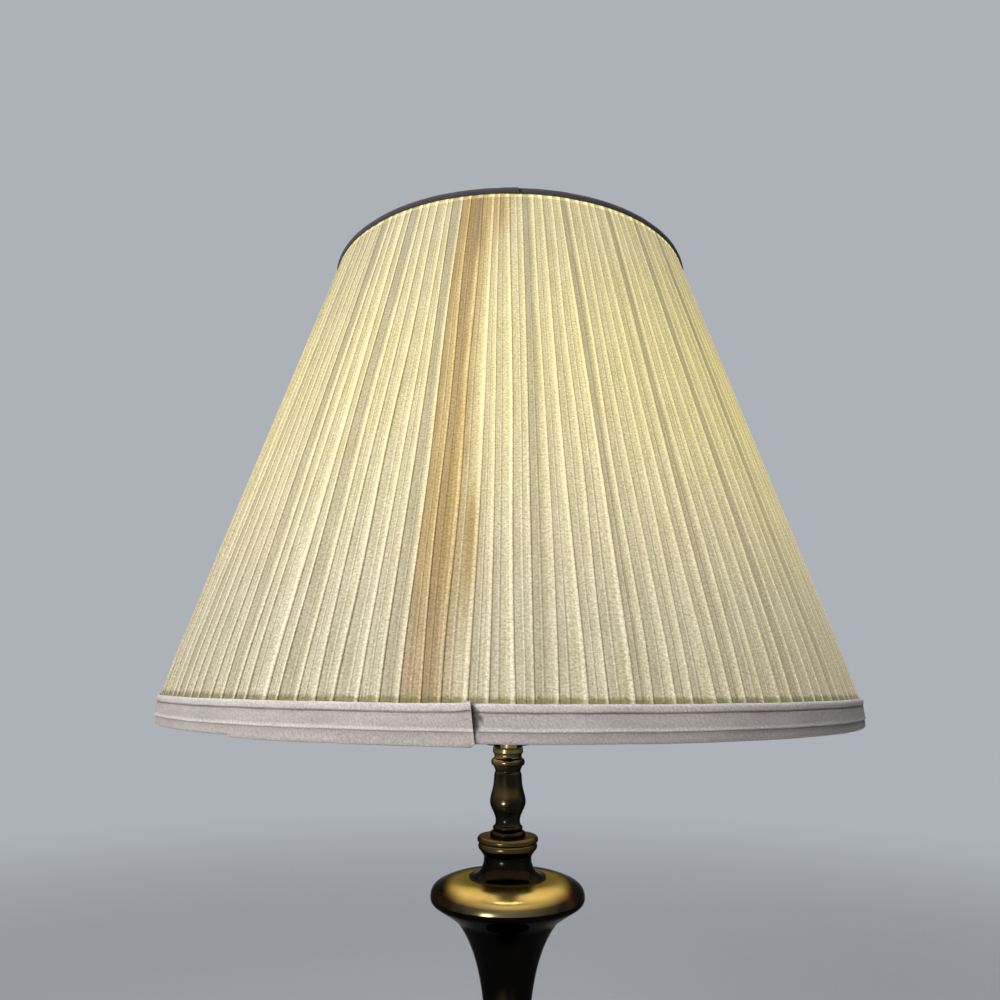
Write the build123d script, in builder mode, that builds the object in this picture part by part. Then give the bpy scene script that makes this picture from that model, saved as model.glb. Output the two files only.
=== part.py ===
from build123d import *
import os
from math import cos, exp, pi, sin

# Candlestick table lamp with a pleated empire shade. Millimetres, +Z up, the origin on the
# table under the middle of the base. The harp stands in the YZ plane and the switch faces +X.

# ---- driving dimensions: shade -------------------------------------------------------------
SHADE_EDGE_Z = 504.0          # lower edge of the fabric above the table
SHADE_HEIGHT = 304.0          # fabric, edge to edge, measured upright
SHADE_R_BOTTOM = 226.0        # fabric at its lower edge
SHADE_R_TOP = 132.0           # fabric at its upper edge
PLEATS = 138                  # knife pleats round the shade
PLEAT_DEPTH = 1.6             # at the lower edge
PLEAT_STEP = 0.25             # share of a pleat taken by its steep side
COVER_DEPTH = 3.2             # fabric layers, from the crest inwards
LINER_GAP = 0.1
LINER_WALL = 0.7
RIM_WIRE_R = 1.6              # wire of the two shade rings
TAPE_REACH = 3.0              # fabric hidden under the lower tape
ARM_COUNT = 3
ARM_R = 1.8

# ---- driving dimensions: brass stem ----------------------------------------------------------
PIPE_R = 4.8                  # 1/8 IPS threaded lamp pipe
PIPE_BORE_R = 3.3
STEM_BORE_R = 5.2             # clearance hole of every piece threaded over the pipe
FELT_T = 2.5
BASE_R = 82.0
PLINTH_R = 80.0
SPUN_WALL = 1.3
BASE_TOP_Z = 61.0
KNOP_R = 22.0
COLUMN_Z = 107.0              # foot of the trumpet column
COLUMN_TOP_Z = 357.0
COLUMN_WAIST_R = 12.2
COLUMN_FLARE = 19.5           # added to the waist at the top, dying away downwards
COLUMN_FLARE_LENGTH = 27.0
COLUMN_FOOT_FLARE = 5.0
COLUMN_FOOT_LENGTH = 22.0
COLUMN_WALL = 1.5
PAN_R = 51.2                  # drip pan
PAN_RIM_Z = 374.0
PAN_TOP_Z = 385.3
PAN_SEAT_R = 31.8
COLLAR_TOP_Z = 411.0
FLANGE_R = 25.6
NECK_TOP_Z = 468.6

# ---- driving dimensions: harp, socket and bulb ------------------------------------------------
SADDLE_T = 1.2
SADDLE_HALF = 28.5            # centre to the outer face of an ear
EAR_T = 1.5
HARP_WIRE_R = 1.6
HARP_LEG_Y = 30.2
HARP_HALF_WIDTH = 59.0
HARP_TOP_Z = 767.0            # centre of the wire at the top of the loop
SLEEVE_Y = 29.0
CAP_R = 17.1                  # socket cap
SHELL_R = 16.35               # socket shell
SWITCH_Z = 491.0
BULB_BASE_Z = 499.2           # tip of the bulb's contact
BULB_R = 30.0
THREAD_PITCH = 3.6            # E26 bulb thread
FIT = 0.05                    # radial running clearance of a turning fit
SLACK = 0.1                   # face to face clearance of pieces that part

os.makedirs("parts", exist_ok=True)


def shade_radius(z):
    """Radius of the pleat crests at height z."""
    return SHADE_R_BOTTOM - (SHADE_R_BOTTOM - SHADE_R_TOP) * (z - SHADE_EDGE_Z) / SHADE_HEIGHT


def column_radius(z):
    """The trumpet: a straight waist that flares at the top and a little at the foot."""
    top_flare = COLUMN_FLARE * exp(-(COLUMN_TOP_Z - z) / COLUMN_FLARE_LENGTH)
    foot_flare = COLUMN_FOOT_FLARE * exp(-(z - COLUMN_Z) / COLUMN_FOOT_LENGTH)
    return COLUMN_WAIST_R + top_flare + foot_flare


# ============================ base ============================================================
with BuildPart() as felt_pad:
    with BuildSketch():
        Circle(PLINTH_R - 0.5)
    extrude(amount=FELT_T)

PLINTH_TOP_Z = 20.0
STEP_R = 58.5
STEP_Z = 30.0
STEP_T = 3.0
DOME_R = 30.0
DOME_TOP_Z = 49.0
BASE_NECK_R = 21.0
OUTLET_Z = 12.4               # cord outlet, at the back of the plinth
OUTLET_R = 4.4

with BuildPart() as base_shell:
    with BuildSketch(Plane.XZ):
        with BuildLine():
            foot = Line((-BASE_R, 0), (PLINTH_R, 0))
            lip = Line(foot @ 1, (PLINTH_R, FELT_T + 0.6))
            bead = ThreePointArc(lip @ 1, (BASE_R, FELT_T + 2.6), (PLINTH_R, FELT_T + 4.6))
            plinth = Line(bead @ 1, (PLINTH_R, PLINTH_TOP_Z - 1.5))
            roll = ThreePointArc(plinth @ 1, (79.4, PLINTH_TOP_Z), (77.0, PLINTH_TOP_Z + 1.0))
            ogee = ThreePointArc(roll @ 1, (66.0, PLINTH_TOP_Z + 3.4), (STEP_R, STEP_Z))
            step = Line(ogee @ 1, (STEP_R, STEP_Z + STEP_T))
            ledge = Line(step @ 1, (STEP_R - 3.0, STEP_Z + STEP_T + 0.8))
            dome = ThreePointArc(ledge @ 1, (44.5, STEP_Z + 13.0), (DOME_R, DOME_TOP_Z))
            cove = ThreePointArc(dome @ 1, (23.6, DOME_TOP_Z + 3.4), (BASE_NECK_R, BASE_TOP_Z - 1.5))
            rim = Line(cove @ 1, (BASE_NECK_R, BASE_TOP_Z))
            top = Line(rim @ 1, (-BASE_R, BASE_TOP_Z))
            Line(top @ 1, foot @ 0)
        make_face()
        offset(amount=-SPUN_WALL, mode=Mode.SUBTRACT)
        with Locations(((STEM_BORE_R + BASE_R + 1) / 2, (FELT_T + BASE_TOP_Z) / 2)):
            Rectangle(BASE_R + 1 - STEM_BORE_R, BASE_TOP_Z - FELT_T, mode=Mode.INTERSECT)
    revolve(axis=Axis.Z)
    with BuildSketch(Plane.XZ):
        with Locations((0, OUTLET_Z)):
            Circle(OUTLET_R + FIT)
    extrude(amount=-BASE_R - 1, mode=Mode.SUBTRACT)

WEIGHT_R = 76.5
RECESS_R = 16.0
RECESS_TOP_Z = 17.0
HUB_R = 13.0
CHANNEL_W = 10.0

with BuildPart() as base_weight:
    with BuildSketch(Plane.XZ):
        with BuildLine():
            Polyline(
                (RECESS_R, FELT_T),
                (WEIGHT_R, FELT_T),
                (WEIGHT_R, PLINTH_TOP_Z - 3.0),
                (66.0, PLINTH_TOP_Z - 0.6),
                (56.0, STEP_Z - 5.0),
                (54.0, STEP_Z + 1.0),
                (RECESS_R, STEP_Z + 4.0),
                (HUB_R, BASE_TOP_Z - SPUN_WALL),
                (STEM_BORE_R, BASE_TOP_Z - SPUN_WALL),
                (STEM_BORE_R, RECESS_TOP_Z),
                (RECESS_R, RECESS_TOP_Z),
                close=True,
            )
        make_face()
    revolve(axis=Axis.Z)
    with BuildSketch(Plane.XY.offset(FELT_T)):
        with Locations((0, WEIGHT_R / 2)):
            Rectangle(CHANNEL_W, WEIGHT_R + 2)
    extrude(amount=RECESS_TOP_Z - FELT_T, mode=Mode.SUBTRACT)

BUSHING_BORE_R = 3.4
BUSHING_FLANGE_R = 5.2
BUSHING_FLANGE_T = 1.6
BUSHING_LENGTH = 7.0

with BuildPart() as cord_bushing:
    with BuildSketch(Plane.XZ.offset(-PLINTH_R - BUSHING_FLANGE_T - SLACK)):
        with Locations((0, OUTLET_Z)):
            Circle(BUSHING_FLANGE_R)
    extrude(amount=BUSHING_FLANGE_T)
    with BuildSketch(Plane.XZ.offset(-PLINTH_R - BUSHING_FLANGE_T - SLACK)):
        with Locations((0, OUTLET_Z)):
            Circle(OUTLET_R)
    extrude(amount=BUSHING_LENGTH)
    chamfer(cord_bushing.edges().group_by(Axis.Y)[-1], 0.5)
    with BuildSketch(Plane.XZ.offset(-PLINTH_R - BUSHING_FLANGE_T - 1)):
        with Locations((0, OUTLET_Z)):
            Circle(BUSHING_BORE_R)
    extrude(amount=BUSHING_LENGTH + 2, mode=Mode.SUBTRACT)

WASHER_R = 13.0
WASHER_T = 1.6
NUT_ACROSS_FLATS = 15.9
NUT_T = 4.0

with BuildPart() as base_washer:
    with BuildSketch(Plane.XY.offset(RECESS_TOP_Z - WASHER_T)):
        Circle(WASHER_R)
        Circle(STEM_BORE_R, mode=Mode.SUBTRACT)
    extrude(amount=WASHER_T)

with BuildPart() as base_lock_nut:
    with BuildSketch(Plane.XY.offset(RECESS_TOP_Z - WASHER_T - NUT_T)):
        RegularPolygon(NUT_ACROSS_FLATS / 2, 6, major_radius=False)
        Circle(PIPE_R + FIT, mode=Mode.SUBTRACT)
    extrude(amount=NUT_T)

COLLAR_T = 6.0
KNOP_Z = BASE_TOP_Z + COLLAR_T
SEAT_Z = COLUMN_Z - COLLAR_T
KNOP_END_R = 13.0

with BuildPart() as base_collar:
    with BuildSketch(Plane.XZ):
        with BuildLine():
            under = Line((STEM_BORE_R, BASE_TOP_Z), (17.0, BASE_TOP_Z))
            bulge = ThreePointArc(under @ 1, (19.0, BASE_TOP_Z + 2.2), (17.0, BASE_TOP_Z + 4.4))
            top = Line(bulge @ 1, (15.0, KNOP_Z))
            bore = Line(top @ 1, (STEM_BORE_R, KNOP_Z))
            Line(bore @ 1, under @ 0)
        make_face()
    revolve(axis=Axis.Z)

with BuildPart() as knop:
    with BuildSketch(Plane.XZ):
        with BuildLine():
            under = Line((STEM_BORE_R, KNOP_Z), (KNOP_END_R, KNOP_Z))
            foot = Line(under @ 1, (KNOP_END_R, KNOP_Z + 2.5))
            belly = ThreePointArc(foot @ 1, (KNOP_R, (KNOP_Z + SEAT_Z) / 2), (KNOP_END_R, SEAT_Z - 2.5))
            head = Line(belly @ 1, (KNOP_END_R, SEAT_Z))
            top = Line(head @ 1, (STEM_BORE_R, SEAT_Z))
            Line(top @ 1, under @ 0)
        make_face()
    revolve(axis=Axis.Z)

with BuildPart() as column_seat:
    with BuildSketch(Plane.XZ):
        with BuildLine():
            under = Line((STEM_BORE_R, SEAT_Z), (15.0, SEAT_Z))
            lead = Line(under @ 1, (17.5, SEAT_Z + 1.4))
            bulge = ThreePointArc(lead @ 1, (20.2, SEAT_Z + 3.7), (17.9, COLUMN_Z))
            top = Line(bulge @ 1, (STEM_BORE_R, COLUMN_Z))
            Line(top @ 1, under @ 0)
        make_face()
    revolve(axis=Axis.Z)

# ============================ stem ============================================================
COLUMN_STATIONS = [0.0, 0.07, 0.16, 0.30, 0.48, 0.64, 0.76, 0.86, 0.94, 1.0]


def column_side(inset):
    """Points up the side of the column, moved towards the axis by inset."""
    heights = [COLUMN_Z + share * (COLUMN_TOP_Z - COLUMN_Z) for share in COLUMN_STATIONS]
    return [(column_radius(z) - inset, z) for z in heights]


with BuildPart() as trumpet_column:
    with BuildSketch(Plane.XZ):
        with BuildLine():
            outside = Spline(*column_side(0))
            inside = Spline(*column_side(COLUMN_WALL))
            Line(outside @ 0, inside @ 0)
            Line(outside @ 1, inside @ 1)
        make_face()
    revolve(axis=Axis.Z)

with BuildPart() as drip_pan_underside:
    with BuildSketch(Plane.XZ):
        with BuildLine():
            bottom = Line((STEM_BORE_R, COLUMN_TOP_Z), (PAN_SEAT_R, COLUMN_TOP_Z))
            under = Spline(
                bottom @ 1, (38.0, 362.8), (47.5, 368.9), (PAN_R, PAN_RIM_Z),
                tangents=[(0.6, 1), (0, 1)],
            )
            rim = Line(under @ 1, (PAN_R - SPUN_WALL, PAN_RIM_Z))
            inside = Spline(
                rim @ 1, (46.6, 369.9), (37.2, 363.85), (31.1, COLUMN_TOP_Z + SPUN_WALL),
                tangents=[(0, -1), (-0.6, -1)],
            )
            floor = Line(inside @ 1, (STEM_BORE_R, COLUMN_TOP_Z + SPUN_WALL))
            Line(floor @ 1, bottom @ 0)
        make_face()
    revolve(axis=Axis.Z)

with BuildPart() as drip_pan_top:
    with BuildSketch(Plane.XZ):
        with BuildLine():
            crown = Spline(
                (PAN_R, PAN_RIM_Z), (44.0, 382.7), (31.0, PAN_TOP_Z), tangents=[(0, 1), (-1, 0)]
            )
            top = Line(crown @ 1, (STEM_BORE_R, PAN_TOP_Z))
            bore = Line(top @ 1, (STEM_BORE_R, PAN_TOP_Z - SPUN_WALL))
            ceiling = Line(bore @ 1, (31.0, PAN_TOP_Z - SPUN_WALL))
            inside = Spline(
                ceiling @ 1, (43.3, 381.6), (PAN_R - SPUN_WALL, PAN_RIM_Z), tangents=[(1, 0), (0, -1)]
            )
            Line(inside @ 1, crown @ 0)
        make_face()
    revolve(axis=Axis.Z)

SPOOL_R = 16.1
BEAD_R = 20.5
LOWER_BEAD_R = 19.9

with BuildPart() as neck_collar:
    with BuildSketch(Plane.XZ):
        with BuildLine():
            seat = Line((STEM_BORE_R, PAN_TOP_Z), (FLANGE_R, PAN_TOP_Z))
            edge = Line(seat @ 1, (FLANGE_R, PAN_TOP_Z + 0.7))
            flare = Spline(
                edge @ 1, (20.0, 388.0), (SPOOL_R, 394.8), (SPOOL_R, 398.4), (18.7, 402.4),
                tangents=[(-1, 0.05), (0.7, 1)],
            )
            lower_bead = ThreePointArc(flare @ 1, (LOWER_BEAD_R, 405.0), (19.2, 406.8))
            upper_bead = ThreePointArc(lower_bead @ 1, (BEAD_R, 409.2), (19.4, COLLAR_TOP_Z))
            top = Line(upper_bead @ 1, (STEM_BORE_R, COLLAR_TOP_Z))
            Line(top @ 1, seat @ 0)
        make_face()
    revolve(axis=Axis.Z)

with BuildPart() as turned_neck:
    with BuildSketch(Plane.XZ):
        with BuildLine():
            seat = Line((STEM_BORE_R, COLLAR_TOP_Z), (11.5, COLLAR_TOP_Z))
            foot_ring = ThreePointArc(seat @ 1, (12.0, 412.6), (10.9, 414.2))
            notch = Line(foot_ring @ 1, (9.4, 414.9))
            upper_ring = ThreePointArc(notch @ 1, (10.1, 416.4), (9.0, 417.8))
            belly = Spline(
                upper_ring @ 1, (8.3, 420.0), (12.0, 431.2), (9.9, 444.0), (9.0, 451.6), (10.0, 455.9),
                tangents=[(-0.6, 1), (0.5, 1)],
            )
            bead = ThreePointArc(belly @ 1, (11.6, 458.6), (9.7, 461.2))
            waist = ThreePointArc(bead @ 1, (9.4, 462.6), (10.4, 464.6))
            cup = Line(waist @ 1, (10.4, NECK_TOP_Z - 0.7))
            rim = Line(cup @ 1, (9.8, NECK_TOP_Z))
            top = Line(rim @ 1, (STEM_BORE_R, NECK_TOP_Z))
            Line(top @ 1, seat @ 0)
        make_face()
    revolve(axis=Axis.Z)

SADDLE_TOP_Z = NECK_TOP_Z + SADDLE_T
PIPE_FOOT_Z = 5.0
CAP_HUB_TOP_Z = SADDLE_TOP_Z + 8.2

with BuildPart() as lamp_pipe:
    with BuildSketch(Plane.XY.offset(PIPE_FOOT_Z)):
        Circle(PIPE_R)
        Circle(PIPE_BORE_R, mode=Mode.SUBTRACT)
    extrude(amount=CAP_HUB_TOP_Z - 1.0 - PIPE_FOOT_Z)

# ============================ harp ============================================================
SADDLE_W = 19.0
EAR_W = 6.0
EAR_TOP_Z = 486.0

with BuildPart() as harp_saddle:
    with BuildSketch(Plane.XY.offset(NECK_TOP_Z)):
        SlotOverall(2 * SADDLE_HALF, SADDLE_W, rotation=90)
        Rectangle(EAR_W, 2 * SADDLE_HALF)
        Circle(STEM_BORE_R, mode=Mode.SUBTRACT)
    extrude(amount=SADDLE_T)
    with BuildSketch(Plane.XY.offset(NECK_TOP_Z)):
        with Locations((0, SADDLE_HALF - EAR_T / 2), (0, EAR_T / 2 - SADDLE_HALF)):
            Rectangle(EAR_W, EAR_T)
    extrude(amount=EAR_TOP_Z - NECK_TOP_Z)

LEG_FOOT_Z = 472.0
LEG_BEND_Z = 522.0
HARP_WIDE_Z = 592.0
HARP_SHOULDER_Z = 712.0
HARP_CROWN_Y = 34.0
HARP_BLOCK_R = 6.0
HARP_BLOCK_T = 8.0
SHANK_R = 2.15

with BuildPart() as harp:
    with BuildLine(Plane.YZ):
        half = [
            (HARP_LEG_Y, LEG_FOOT_Z),
            (HARP_LEG_Y, LEG_BEND_Z),
            (HARP_HALF_WIDTH, HARP_WIDE_Z),
            (HARP_HALF_WIDTH, HARP_SHOULDER_Z),
            (HARP_CROWN_Y, HARP_TOP_Z),
        ]
        loop = half + [(-y, z) for y, z in reversed(half)]
        FilletPolyline(*loop, radius=30.0)
    with BuildSketch(Plane.XY.offset(LEG_FOOT_Z)):
        with Locations((0, HARP_LEG_Y)):
            Circle(HARP_WIRE_R)
    sweep()
    with BuildSketch(Plane.XY.offset(HARP_TOP_Z - HARP_BLOCK_T / 2)):
        Circle(HARP_BLOCK_R)
    extrude(amount=HARP_BLOCK_T)
    with BuildSketch(Plane.XY.offset(HARP_TOP_Z - HARP_BLOCK_T / 2)):
        Circle(SHANK_R + FIT)
    extrude(amount=HARP_BLOCK_T, mode=Mode.SUBTRACT)

SLEEVE_TOP_Z = 488.0
SLEEVE_R = 5.2
SLEEVE_BORE_R = 4.25


def harp_sleeve(y):
    """A ferrule that locks one harp leg to one ear of the saddle."""
    with BuildPart() as sleeve:
        with BuildSketch(Plane.XY.offset(SADDLE_TOP_Z + SLACK)):
            with Locations((0, y)):
                Circle(SLEEVE_R)
                Circle(SLEEVE_BORE_R, mode=Mode.SUBTRACT)
        extrude(amount=SLEEVE_TOP_Z - SADDLE_TOP_Z - SLACK)
        outer_edges = sleeve.edges().filter_by(GeomType.CIRCLE).sort_by(SortBy.RADIUS)[-2:]
        chamfer(outer_edges, 0.4)
    return sleeve


harp_sleeve_front = harp_sleeve(-SLEEVE_Y)
harp_sleeve_rear = harp_sleeve(SLEEVE_Y)

STUD_R = 3.1                  # 1/4-27 finial thread
STUD_FLANGE_R = 8.0
STUD_FLANGE_Z = HARP_TOP_Z + HARP_BLOCK_T / 2 + SLACK
STUD_FLANGE_T = 2.5
WASHER_Z = STUD_FLANGE_Z + STUD_FLANGE_T + SLACK
STUD_TOP_Z = 792.0
RIVET_R = 4.0
RIVET_T = 2.4
RIVET_Z = HARP_TOP_Z - HARP_BLOCK_T / 2 - SLACK - RIVET_T

with BuildPart() as harp_stud:
    with BuildSketch(Plane.XY.offset(RIVET_Z)):
        Circle(RIVET_R)
    extrude(amount=RIVET_T)
    with BuildSketch(Plane.XY.offset(RIVET_Z)):
        Circle(SHANK_R)
    extrude(amount=STUD_FLANGE_Z - RIVET_Z)
    with BuildSketch(Plane.XY.offset(STUD_FLANGE_Z)):
        Circle(STUD_FLANGE_R)
    extrude(amount=STUD_FLANGE_T)
    with BuildSketch(Plane.XY.offset(STUD_FLANGE_Z)):
        Circle(STUD_R)
    extrude(amount=STUD_TOP_Z - STUD_FLANGE_Z)
    chamfer(harp_stud.edges().group_by(Axis.Z)[-1], 0.6)

# ============================ socket ==========================================================
CAP_RIM_Z = 485.0
CAP_WALL = 0.6
CAP_HUB_R = 7.5

with BuildPart() as socket_cap:
    with BuildSketch(Plane.XZ):
        with BuildLine():
            floor = Line((PIPE_R + FIT, SADDLE_TOP_Z), (15.4, SADDLE_TOP_Z))
            corner = ThreePointArc(floor @ 1, (16.6, 470.5), (CAP_R, SADDLE_TOP_Z + 2.6))
            wall = Line(corner @ 1, (CAP_R, CAP_RIM_Z))
            rim = Line(wall @ 1, (CAP_R - CAP_WALL, CAP_RIM_Z))
            Polyline(
                rim @ 1,
                (CAP_R - CAP_WALL, SADDLE_TOP_Z + 2.8),
                (15.2, SADDLE_TOP_Z + CAP_WALL),
                (CAP_HUB_R, SADDLE_TOP_Z + CAP_WALL),
                (CAP_HUB_R, CAP_HUB_TOP_Z),
                (PIPE_R + FIT, CAP_HUB_TOP_Z),
                floor @ 0,
            )
        make_face()
    revolve(axis=Axis.Z)

SHELL_Z = 474.0
SHELL_RIM_Z = 521.0
SHELL_WALL = 0.5
SWITCH_HOLE_R = 2.6

with BuildPart() as socket_shell:
    with BuildSketch(Plane.XY.offset(SHELL_Z)):
        Circle(SHELL_R)
        Circle(SHELL_R - SHELL_WALL, mode=Mode.SUBTRACT)
    extrude(amount=SHELL_RIM_Z - SHELL_Z)
    with BuildSketch(Plane.XZ):
        with BuildLine():
            skirt = Line((SHELL_R, SHELL_RIM_Z - 8.0), (SHELL_R, SHELL_RIM_Z - 4.0))
            swell = ThreePointArc(skirt @ 1, (SHELL_R + 0.5, SHELL_RIM_Z - 6.0), skirt @ 0)
        make_face()
    revolve(axis=Axis.Z)
    with BuildSketch(Plane.YZ):
        with Locations((0, SWITCH_Z)):
            Circle(SWITCH_HOLE_R)
    extrude(amount=SHELL_R + 1, mode=Mode.SUBTRACT)

INSULATOR_R = 15.7
INSULATOR_WALL = 0.7

with BuildPart() as socket_insulator:
    with BuildSketch(Plane.XY.offset(SHELL_Z + 2)):
        Circle(INSULATOR_R)
        Circle(INSULATOR_R - INSULATOR_WALL, mode=Mode.SUBTRACT)
    extrude(amount=SHELL_RIM_Z - SHELL_Z - 3)
    with BuildSketch(Plane.YZ):
        with Locations((0, SHELL_Z + 9)):
            Rectangle(2 * SWITCH_HOLE_R + 1, 2 * (SWITCH_Z - SHELL_Z - 9) + 2 * SWITCH_HOLE_R + 1)
    extrude(amount=SHELL_R, mode=Mode.SUBTRACT)

BODY_R = 12.4
BODY_Z = 480.0
BODY_TOP_Z = 497.0
STEM_R = 2.0
STEM_INNER_X = 5.0
SCREW_HEAD_R = 2.8
SCREW_HEAD_T = 1.6
SCREW_SHANK_R = 1.5
SCREW_DEPTH = 5.0

with BuildPart() as socket_body:
    with BuildSketch(Plane.XY.offset(BODY_Z)):
        Circle(BODY_R)
    extrude(amount=BODY_TOP_Z - BODY_Z)
    fillet(socket_body.edges().group_by(Axis.Z)[0], 1.5)
    with BuildSketch(Plane.YZ.offset(STEM_INNER_X - SLACK)):
        with Locations((0, SWITCH_Z)):
            Circle(STEM_R + FIT)
    extrude(amount=BODY_R, mode=Mode.SUBTRACT)
    with BuildSketch(Plane.XZ.offset(BODY_R - SCREW_DEPTH)):
        with Locations((0, SWITCH_Z - 2)):
            Circle(SCREW_SHANK_R + FIT)
    extrude(amount=SCREW_DEPTH + 1, mode=Mode.SUBTRACT)
    with BuildSketch(Plane.XZ.offset(SCREW_DEPTH - BODY_R)):
        with Locations((0, SWITCH_Z - 2)):
            Circle(SCREW_SHANK_R + FIT)
    extrude(amount=-SCREW_DEPTH - 1, mode=Mode.SUBTRACT)

SCREW_SHELL_R = 13.7
SCREW_SHELL_BORE_R = 13.3
SCREW_SHELL_RIM_Z = 520.0
SCREW_SHELL_FLOOR_R = 8.0     # hole in its floor, round the centre contact
SHEET_T = 0.5                 # sheet brass of the socket's contacts

with BuildPart() as screw_shell:
    with BuildSketch(Plane.XY.offset(BODY_TOP_Z)):
        Circle(SCREW_SHELL_R)
        Circle(SCREW_SHELL_FLOOR_R, mode=Mode.SUBTRACT)
    extrude(amount=SHEET_T)
    with BuildSketch(Plane.XY.offset(BODY_TOP_Z)):
        Circle(SCREW_SHELL_R)
        Circle(SCREW_SHELL_BORE_R, mode=Mode.SUBTRACT)
    extrude(amount=SCREW_SHELL_RIM_Z - BODY_TOP_Z)

CONTACT_LENGTH = 9.0
CONTACT_WIDTH = 5.0
CONTACT_PIP_R = 2.2

with BuildPart() as centre_contact:
    with BuildSketch(Plane.XY.offset(BODY_TOP_Z)):
        with Locations((CONTACT_PIP_R + 0.3 - CONTACT_LENGTH / 2, 0)):
            Rectangle(CONTACT_LENGTH, CONTACT_WIDTH)
    extrude(amount=SHEET_T)
    with BuildSketch(Plane.XY.offset(BODY_TOP_Z)):
        Circle(CONTACT_PIP_R)
    extrude(amount=BULB_BASE_Z - BODY_TOP_Z - SLACK)

with BuildPart() as terminal_screws:
    for side in (-1, 1):
        with BuildSketch(Plane.XZ.offset(side * BODY_R)):
            with Locations((0, SWITCH_Z - 2)):
                Circle(SCREW_HEAD_R)
        extrude(amount=side * SCREW_HEAD_T)
        with BuildSketch(Plane.XZ.offset(side * (BODY_R - SCREW_DEPTH + 0.5))):
            with Locations((0, SWITCH_Z - 2)):
                Circle(SCREW_SHANK_R)
        extrude(amount=side * SCREW_DEPTH)

KNOB_X = 18.0
KNOB_LENGTH = 12.0
KNOB_R = 6.6
KNOB_FLUTES = 16
KNOB_FLUTE_R = 0.85
KNOB_BOSS_R = 4.4
STEM_LENGTH = KNOB_X + 6.0 - STEM_INNER_X

with BuildPart() as switch_stem:
    with BuildSketch(Plane.YZ.offset(STEM_INNER_X)):
        with Locations((0, SWITCH_Z)):
            Circle(STEM_R)
    extrude(amount=STEM_LENGTH)

with BuildPart() as switch_knob:
    with BuildSketch(Plane.YZ.offset(KNOB_X)):
        with Locations((0, SWITCH_Z)):
            Circle(KNOB_R)
            with PolarLocations(KNOB_R + KNOB_FLUTE_R / 2, KNOB_FLUTES):
                Circle(KNOB_FLUTE_R, mode=Mode.SUBTRACT)
    extrude(amount=KNOB_LENGTH)
    with BuildSketch(Plane.YZ.offset(KNOB_X)):
        with Locations((0, SWITCH_Z)):
            Circle(KNOB_BOSS_R)
    extrude(amount=KNOB_LENGTH + 1.0)
    with BuildSketch(Plane.YZ.offset(KNOB_X)):
        with Locations((0, SWITCH_Z)):
            Circle(STEM_R)
    extrude(amount=STEM_INNER_X + STEM_LENGTH - KNOB_X, mode=Mode.SUBTRACT)

# ============================ bulb ============================================================
BULB_CAP_Z = BULB_BASE_Z + 4.3
BULB_CAP_TOP_Z = 524.0
BULB_CAP_R = 13.0
BULB_CAP_ROOT_R = 12.3
BULB_CAP_WALL = 0.6
BULB_THREADS = 4
BULB_NECK_R = 12.0
BULB_GLASS_Z = 520.4
BULB_WIDE_Z = 577.0
BULB_BALL_FROM = -38.0        # degrees below level where the ball turns into the neck
GLASS_WALL = 0.9

with BuildPart() as bulb_cap:
    with BuildSketch(Plane.XZ):
        with BuildLine():
            lead = Line((11.2, BULB_CAP_Z), (BULB_CAP_ROOT_R, BULB_CAP_Z + 1.2))
            thread = lead
            for turn in range(BULB_THREADS):
                z = BULB_CAP_Z + 1.2 + turn * THREAD_PITCH
                crest = (BULB_CAP_R, z + THREAD_PITCH / 2)
                thread = ThreePointArc(thread @ 1, crest, (BULB_CAP_ROOT_R, z + THREAD_PITCH))
            Polyline(
                thread @ 1,
                (BULB_CAP_R, BULB_GLASS_Z),
                (BULB_CAP_R, BULB_CAP_TOP_Z),
                (BULB_CAP_R - BULB_CAP_WALL, BULB_CAP_TOP_Z),
                (BULB_CAP_R - BULB_CAP_WALL, BULB_GLASS_Z),
                (BULB_CAP_ROOT_R - BULB_CAP_WALL, BULB_GLASS_Z - 1.3),
                (BULB_CAP_ROOT_R - BULB_CAP_WALL, BULB_CAP_Z + 1.6),
                (10.4, BULB_CAP_Z),
                lead @ 0,
            )
        make_face()
    revolve(axis=Axis.Z)

with BuildPart() as bulb_insulator:
    with BuildSketch(Plane.XZ):
        with BuildLine():
            Polyline(
                (0, BULB_BASE_Z),
                (3.6, BULB_BASE_Z),
                (4.6, BULB_BASE_Z + 0.8),
                (10.3, BULB_CAP_Z),
                (11.0, BULB_CAP_Z + 1.8),
                (0, BULB_CAP_Z + 1.8),
                close=True,
            )
        make_face()
    revolve(axis=Axis.Z)

with BuildPart() as bulb_glass:
    with BuildSketch(Plane.XZ):
        with BuildLine():
            sides = []
            for inset in (0, GLASS_WALL):
                ball = CenterArc((0, BULB_WIDE_Z), BULB_R - inset, BULB_BALL_FROM, 90 - BULB_BALL_FROM)
                neck = Spline(
                    (BULB_NECK_R - inset, BULB_GLASS_Z),
                    (BULB_NECK_R + 0.2 - inset, BULB_CAP_TOP_Z + 3.0),
                    ball @ 0,
                    tangents=[(0, 1), ball % 0],
                )
                sides.append((neck @ 0, ball @ 1))
            Line(sides[0][0], sides[1][0])
            Line(sides[0][1], sides[1][1])
        make_face()
    revolve(axis=Axis.Z)

MOUNT_R = 4.0
MOUNT_TOP_Z = 546.0
FILAMENT_Z = 572.0
FILAMENT_HALF = 11.0
FILAMENT_R = 0.7
LEAD_R = 0.5

with BuildPart() as bulb_mount:
    with BuildSketch(Plane.XZ):
        with BuildLine():
            Polyline(
                (0, BULB_GLASS_Z),
                (10.0, BULB_GLASS_Z),
                (MOUNT_R, BULB_GLASS_Z + 9.0),
                (MOUNT_R - 0.8, MOUNT_TOP_Z),
                (0, MOUNT_TOP_Z),
                close=True,
            )
        make_face()
    revolve(axis=Axis.Z)

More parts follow.
